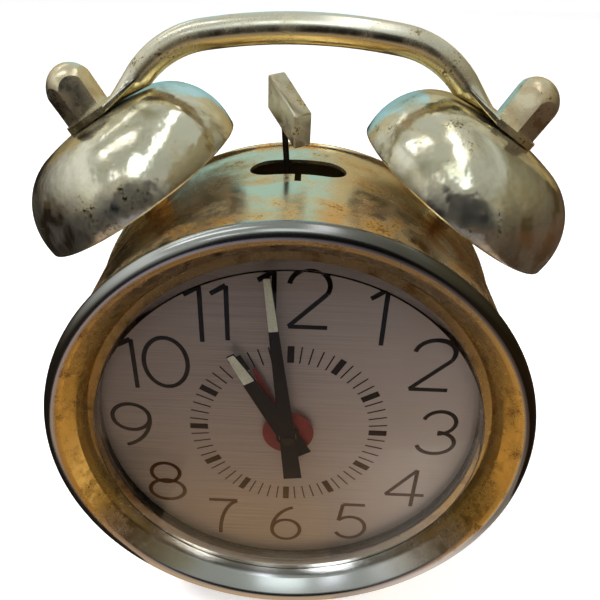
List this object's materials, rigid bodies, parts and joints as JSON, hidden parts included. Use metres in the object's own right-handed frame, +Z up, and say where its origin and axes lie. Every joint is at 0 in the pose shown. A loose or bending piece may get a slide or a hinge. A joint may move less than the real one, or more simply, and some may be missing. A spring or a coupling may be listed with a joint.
{
  "type": "twin bell alarm clock",
  "caption": "Wind-up alarm clock with a round brass drum case, domed dial window, paired top bells under a carrying handle, and a swinging hammer that strikes the bells.",
  "frame": {"origin": "on the table, below the middle of the clock's width and depth", "axes": "+Z up, the dial faces -Y, +X to the right of someone who reads the dial"},
  "size_m": [0.1182, 0.0628, 0.1463],
  "materials": {
    "case_brass": "worn polished plate",
    "bell_brass": "tarnished polished plate",
    "fitting_brass": "dull",
    "crystal": "clear",
    "dial_metal": "brushed",
    "hand_black": "satin black",
    "alarm_red": "translucent red",
    "plate_brass": "brushed",
    "steel": "ground"
  },
  "bodies": {
    "case": {"case_drum": "case_brass", "bezel": "case_brass", "crystal": "crystal", "dial": "dial_metal", "back_cover": "case_brass", "cover_screws": "steel", "cover_studs": "steel", "front_plate": "plate_brass", "back_plate": "plate_brass", "movement_pillars": "plate_brass", "dial_feet": "steel", "spring_posts": "steel", "minute_wheel_stud": "steel", "left_bell": "bell_brass", "right_bell": "bell_brass", "left_bell_post": "fitting_brass", "right_bell_post": "fitting_brass", "post_nuts": "steel", "acorn_nuts": "fitting_brass", "handle": "bell_brass", "left_foot": "case_brass", "right_foot": "case_brass", "rear_foot": "case_brass", "time_mainspring": "steel", "alarm_mainspring": "steel", "hairspring": "steel"},
    "minute_work": {"centre_arbor": "steel", "minute_hand": "hand_black", "time_set_knob": "fitting_brass"},
    "minute_wheel_work": {"minute_wheel": "plate_brass", "minute_pinion": "steel"},
    "hour_work": {"hour_wheel": "plate_brass", "hour_hand": "hand_black"},
    "alarm_pointer": {"alarm_wheel": "plate_brass", "alarm_hand": "alarm_red"},
    "alarm_setting": {"alarm_set_arbor": "steel", "alarm_set_knob": "fitting_brass"},
    "time_winding": {"time_winding_arbor": "steel", "time_ratchet": "steel", "time_key": "fitting_brass"},
    "alarm_winding": {"alarm_winding_arbor": "steel", "alarm_ratchet": "steel", "alarm_key": "fitting_brass"},
    "time_drive": {"time_great_wheel": "plate_brass"},
    "alarm_drive": {"alarm_great_wheel": "plate_brass"},
    "verge": {"verge_arbor": "steel", "verge_wheel": "plate_brass"},
    "balance": {"balance_wheel": "plate_brass", "balance_staff": "steel"},
    "hammer": {"hammer_arbor": "steel", "hammer_pallets": "steel", "hammer_rod": "hand_black", "hammer_head": "fitting_brass"},
    "regulator": {"regulator_lever": "steel"}
  },
  "joints": [
    {"name": "minute_turn", "type": "hinge", "parent": "case", "child": "minute_work", "pos_m": [0, -0.0202, 0.06275], "axis": [0, 1, 0], "continuous": true},
    {"name": "minute_wheel_turn", "type": "hinge", "parent": "case", "child": "minute_wheel_work", "pos_m": [-0.012, -0.0149, 0.06275], "axis": [0, 1, 0], "continuous": true},
    {"name": "hour_turn", "type": "hinge", "parent": "case", "child": "hour_work", "pos_m": [0, -0.0168, 0.06275], "axis": [0, 1, 0], "continuous": true},
    {"name": "time_drive_turn", "type": "hinge", "parent": "case", "child": "time_drive", "pos_m": [0.01973, -0.0104, 0.05557], "axis": [0, 1, 0], "continuous": true},
    {"name": "alarm_set_turn", "type": "hinge", "parent": "case", "child": "alarm_setting", "pos_m": [0.0072, -0.0187, 0.07522], "axis": [0, 1, 0], "continuous": true},
    {"name": "alarm_pointer_turn", "type": "hinge", "parent": "case", "child": "alarm_pointer", "pos_m": [0, -0.0187, 0.06275], "axis": [0, 1, 0], "continuous": true},
    {"name": "time_wind_turn", "type": "hinge", "parent": "case", "child": "time_winding", "pos_m": [0.01973, -0.0091, 0.05557], "axis": [0, 1, 0], "continuous": true},
    {"name": "alarm_wind_turn", "type": "hinge", "parent": "case", "child": "alarm_winding", "pos_m": [-0.02248, -0.0091, 0.05557], "axis": [0, 1, 0], "continuous": true},
    {"name": "alarm_drive_turn", "type": "hinge", "parent": "case", "child": "alarm_drive", "pos_m": [-0.02248, -0.0104, 0.05557], "axis": [0, 1, 0], "continuous": true},
    {"name": "verge_turn", "type": "hinge", "parent": "case", "child": "verge", "pos_m": [-0.00883, -0.0104, 0.07074], "axis": [0, 1, 0], "continuous": true},
    {"name": "balance_swing", "type": "hinge", "parent": "case", "child": "balance", "pos_m": [0.01803, 0.0032, 0.08175], "axis": [0, 1, 0], "range_deg": [-135, 135], "stiffness_Nm_per_rad": 0.000015},
    {"name": "hammer_swing", "type": "hinge", "parent": "case", "child": "hammer", "pos_m": [0, 0.0038, 0.08975], "axis": [0, 1, 0], "range_deg": [-11.7, 17.5]},
    {"name": "regulator_swing", "type": "hinge", "parent": "case", "child": "regulator", "pos_m": [0.01803, 0.0087, 0.08175], "axis": [0, 1, 0], "range_deg": [-18, 18]}
  ],
  "couplings": [
    {"joint": "minute_wheel_turn", "follows": "minute_turn", "ratio": -0.33333},
    {"joint": "hour_turn", "follows": "minute_turn", "ratio": 0.083333},
    {"joint": "time_drive_turn", "follows": "minute_turn", "ratio": -0.16667},
    {"joint": "alarm_pointer_turn", "follows": "alarm_set_turn", "ratio": -0.33333},
    {"joint": "verge_turn", "follows": "alarm_drive_turn", "ratio": -7.5}
  ]
}
